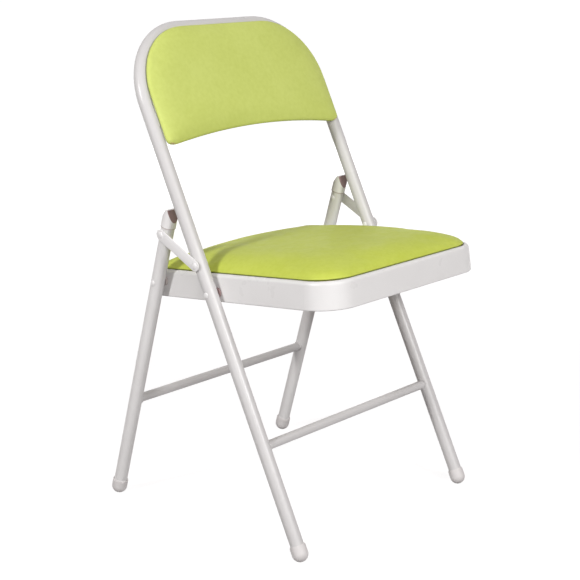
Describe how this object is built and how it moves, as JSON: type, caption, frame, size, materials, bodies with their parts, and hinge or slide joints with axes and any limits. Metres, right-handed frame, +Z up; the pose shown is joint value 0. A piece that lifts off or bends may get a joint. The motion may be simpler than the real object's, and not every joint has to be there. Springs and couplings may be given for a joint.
{
  "type": "folding chair",
  "caption": "Folding chair with a bent tube frame, a padded back and a padded steel seat, rear legs that fold flat against the front frame, and guide links at the sides.",
  "frame": {"origin": "on the floor, midway between the two side planes, and midway between the front edge of the seat and the backs of the rear feet", "axes": "+Z up, +X to the right when looking along +Y, the sitter faces -Y"},
  "size_m": [0.4528, 0.468, 0.7898],
  "materials": {
    "frame_paint": "smooth semi-gloss powder coat, warm off-white",
    "cap_plastic": "smooth, slightly darker off-white",
    "upholstery": "smooth coated cloth with a fine grain, yellow green",
    "foam": "open foam",
    "plywood": "sanded",
    "screw_steel": "zinc plated"
  },
  "bodies": {
    "front_frame": {"front_frame_tube": "frame_paint", "front_crossbar": "frame_paint", "front_foot_left": "cap_plastic", "front_foot_right": "cap_plastic", "back_tabs": "frame_paint", "back_board": "plywood", "back_foam": "foam", "back_cover": "upholstery", "back_screws": "screw_steel", "seat_pivot_rivets": "frame_paint", "seat_pivot_spacers": "cap_plastic", "link_front_rivets": "frame_paint", "link_front_spacers": "cap_plastic"},
    "seat": {"seat_pan": "frame_paint", "pivot_brackets": "frame_paint", "seat_board": "plywood", "seat_foam": "foam", "seat_cover": "upholstery", "seat_screws": "screw_steel"},
    "rear_legs": {"rear_leg_left": "frame_paint", "rear_leg_right": "frame_paint", "rear_crossbar": "frame_paint", "rear_foot_left": "cap_plastic", "rear_foot_right": "cap_plastic", "leg_cap_left": "cap_plastic", "leg_cap_right": "cap_plastic", "rear_pivot_rivets": "frame_paint", "rear_pivot_spacers": "cap_plastic", "link_rivet_tails": "frame_paint"},
    "left_link": {"link_left": "frame_paint", "link_rivets_left": "frame_paint"},
    "right_link": {"link_right": "frame_paint", "link_rivets_right": "frame_paint"}
  },
  "joints": [
    {"name": "seat_fold", "type": "hinge", "parent": "front_frame", "child": "seat", "pos_m": [0, -0.00179, 0.38851], "axis": [-1, 0, 0], "range_deg": [0, 104.13]},
    {"name": "rear_legs_fold", "type": "hinge", "parent": "seat", "child": "rear_legs", "pos_m": [0, 0.11695, 0.38786], "axis": [1, 0, 0], "range_deg": [0, 62.44]},
    {"name": "left_link_fold", "type": "hinge", "parent": "front_frame", "child": "left_link", "pos_m": [0, 0.01984, 0.43246], "axis": [-1, 0, 0], "range_deg": [0, 126.29]},
    {"name": "right_link_fold", "type": "hinge", "parent": "front_frame", "child": "right_link", "pos_m": [0, 0.01984, 0.43246], "axis": [-1, 0, 0], "range_deg": [0, 126.29]}
  ],
  "couplings": [
    {"joint": "rear_legs_fold", "follows": "seat_fold", "ratio": 0.59952},
    {"joint": "left_link_fold", "follows": "seat_fold", "ratio": 1.2128},
    {"joint": "right_link_fold", "follows": "seat_fold", "ratio": 1.2128}
  ]
}
